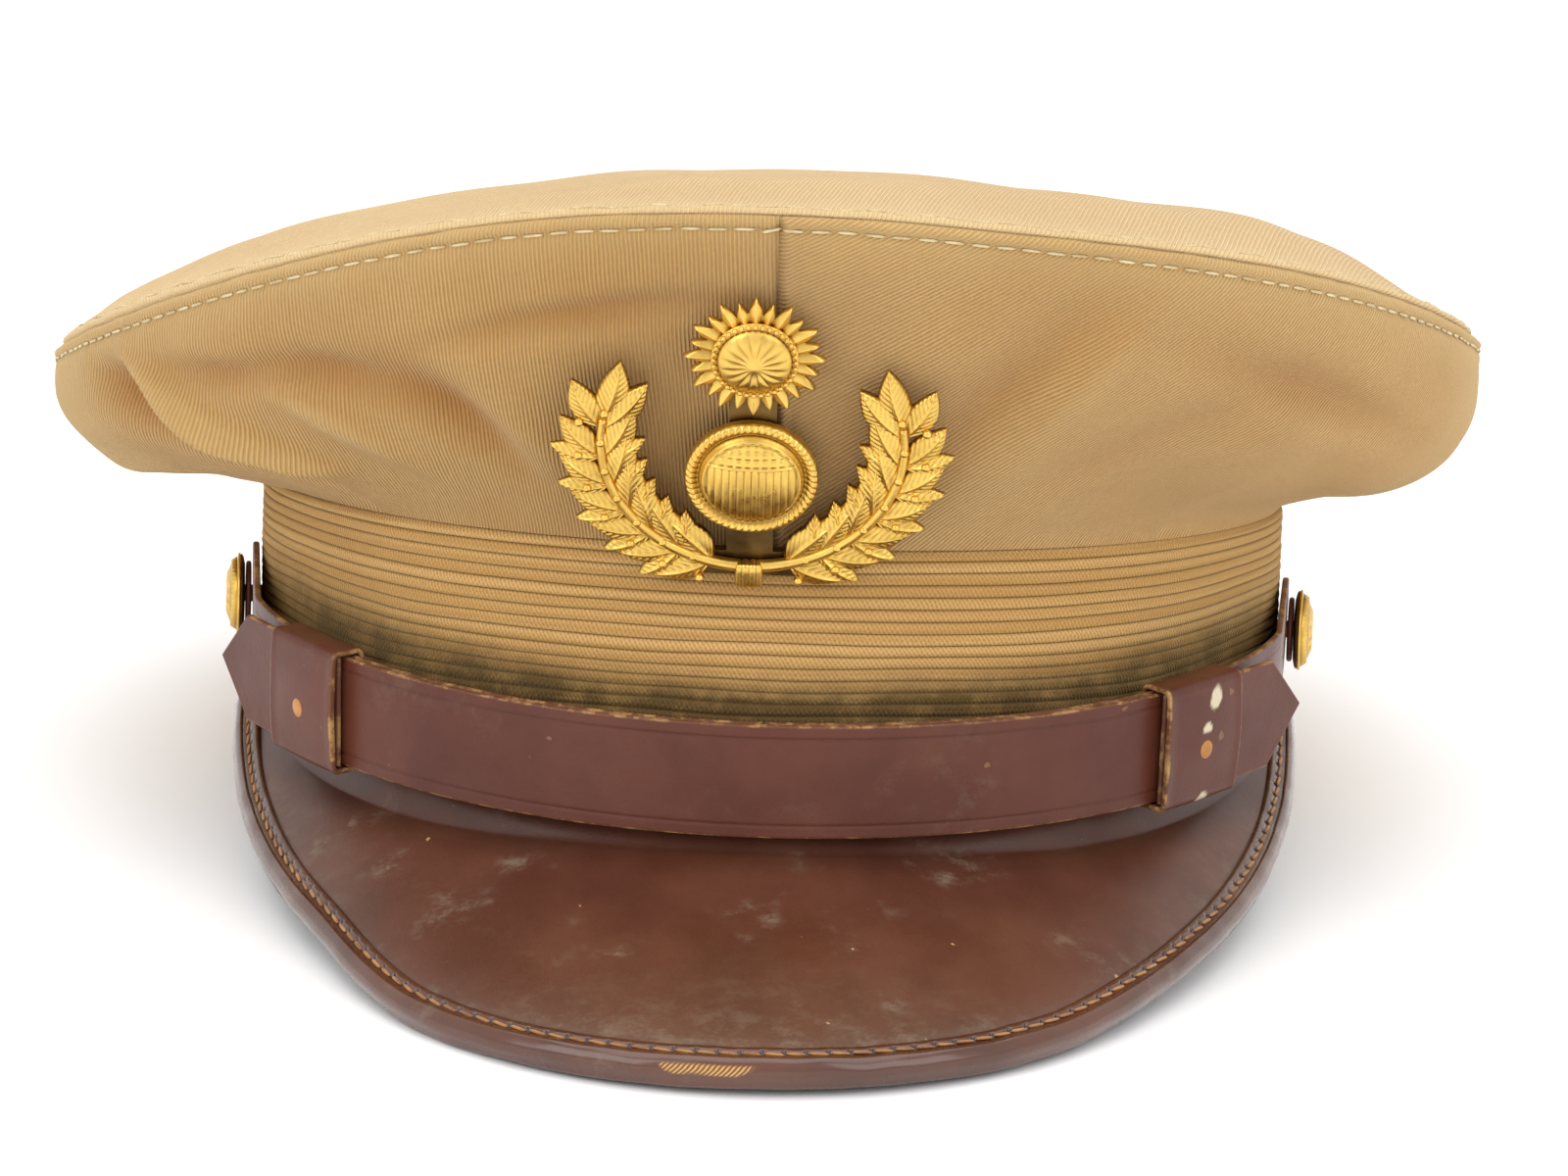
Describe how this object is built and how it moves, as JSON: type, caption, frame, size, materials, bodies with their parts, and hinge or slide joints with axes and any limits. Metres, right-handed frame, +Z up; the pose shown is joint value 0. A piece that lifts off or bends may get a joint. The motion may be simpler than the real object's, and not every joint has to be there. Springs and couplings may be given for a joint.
{
  "type": "military peaked cap",
  "caption": "Officer's peaked service cap: stiffened twill crown, ribbed braid band, sloping leather visor, front strap with keepers, gilt buttons and wreath badge.",
  "frame": {"origin": "bottom centre of the bounding box of the cap as it rests on its visor tip and on the rear of its band", "axes": "+Z up, the visor points toward -Y, +X is the wearer's left"},
  "size_m": [0.2516, 0.298, 0.1247],
  "materials": {
    "twill": "khaki cotton twill",
    "twill_light": "khaki cotton twill, sun-faded",
    "mohair_braid": "ribbed tan mohair braid",
    "buckram": "stiffened canvas",
    "lining_cloth": "thin khaki lining",
    "spring_steel": "flat spring steel",
    "sweatband_leather": "smooth tan leather",
    "visor_leather": "glossy russet leather, scuffed",
    "visor_board": "leather board",
    "visor_underside": "dark matt leather",
    "binding_leather": "rolled russet leather",
    "strap_leather": "russet leather, worn edges",
    "brass": "aged brass",
    "dark_brass": "dark back of a gilt stamping",
    "gilt_brass": "gilt brass"
  },
  "bodies": {
    "cap": {"crown_top_panel": "twill_light", "crown_quarter_front_left": "twill", "crown_quarter_front_right": "twill", "crown_quarter_rear_left": "twill", "crown_quarter_rear_right": "twill", "grommet_ring": "spring_steel", "grommet_joint_clip": "spring_steel", "front_interlining": "buckram", "front_stay": "spring_steel", "lining_side": "lining_cloth", "lining_top": "lining_cloth", "band_stiffener": "buckram", "mohair_braid_band": "mohair_braid", "sweatband": "sweatband_leather", "sweatband_reed": "sweatband_leather", "visor_top_leather": "visor_leather", "visor_core": "visor_board", "visor_lining": "visor_underside", "visor_edge_binding": "binding_leather", "strap_inner_left": "strap_leather", "strap_inner_right": "strap_leather", "strap_outer": "strap_leather", "button_leather_washer_left": "strap_leather", "button_washer_left": "brass", "button_leather_washer_right": "strap_leather", "button_washer_right": "brass", "badge_spray_left": "gilt_brass", "badge_spray_right": "gilt_brass", "badge_sunburst": "gilt_brass", "badge_sun_dome": "gilt_brass", "badge_boss": "gilt_brass", "badge_tie": "gilt_brass", "badge_back_plate": "dark_brass", "badge_screw_post": "brass"},
    "keeper_left": {"keeper_loop_left": "strap_leather", "strap_tip_left": "strap_leather", "keeper_rivet_left": "brass"},
    "keeper_right": {"keeper_loop_right": "strap_leather", "strap_tip_right": "strap_leather", "keeper_rivet_right": "brass"},
    "side_button_left": {"button_shell_left": "gilt_brass", "button_back_left": "dark_brass", "button_post_left": "brass", "button_nut_left": "brass"},
    "side_button_right": {"button_shell_right": "gilt_brass", "button_back_right": "dark_brass", "button_post_right": "brass", "button_nut_right": "brass"},
    "badge_thumb_nut": {"badge_nut": "brass"}
  },
  "joints": [
    {"name": "keeper_left_slide", "type": "hinge", "parent": "cap", "child": "keeper_left", "pos_m": [0, -0.01137, 0.03493], "axis": [0, -0.0148, 0.9999], "range_deg": [-22, 0]},
    {"name": "keeper_right_slide", "type": "hinge", "parent": "cap", "child": "keeper_right", "pos_m": [0, -0.01137, 0.03493], "axis": [0, -0.0148, 0.9999], "range_deg": [0, 22]},
    {"name": "side_button_left_turn", "type": "hinge", "parent": "cap", "child": "side_button_left", "pos_m": [0.08809, -0.00632, 0.0354], "axis": [0.9895, -0.1432, 0.018], "continuous": true},
    {"name": "side_button_right_turn", "type": "hinge", "parent": "cap", "child": "side_button_right", "pos_m": [-0.08809, -0.00632, 0.0354], "axis": [-0.9895, -0.1432, 0.018], "continuous": true},
    {"name": "badge_nut_turn", "type": "hinge", "parent": "cap", "child": "badge_thumb_nut", "pos_m": [-0.003, -0.10297, 0.08184], "axis": [0, -0.9146, -0.4043], "continuous": true}
  ]
}
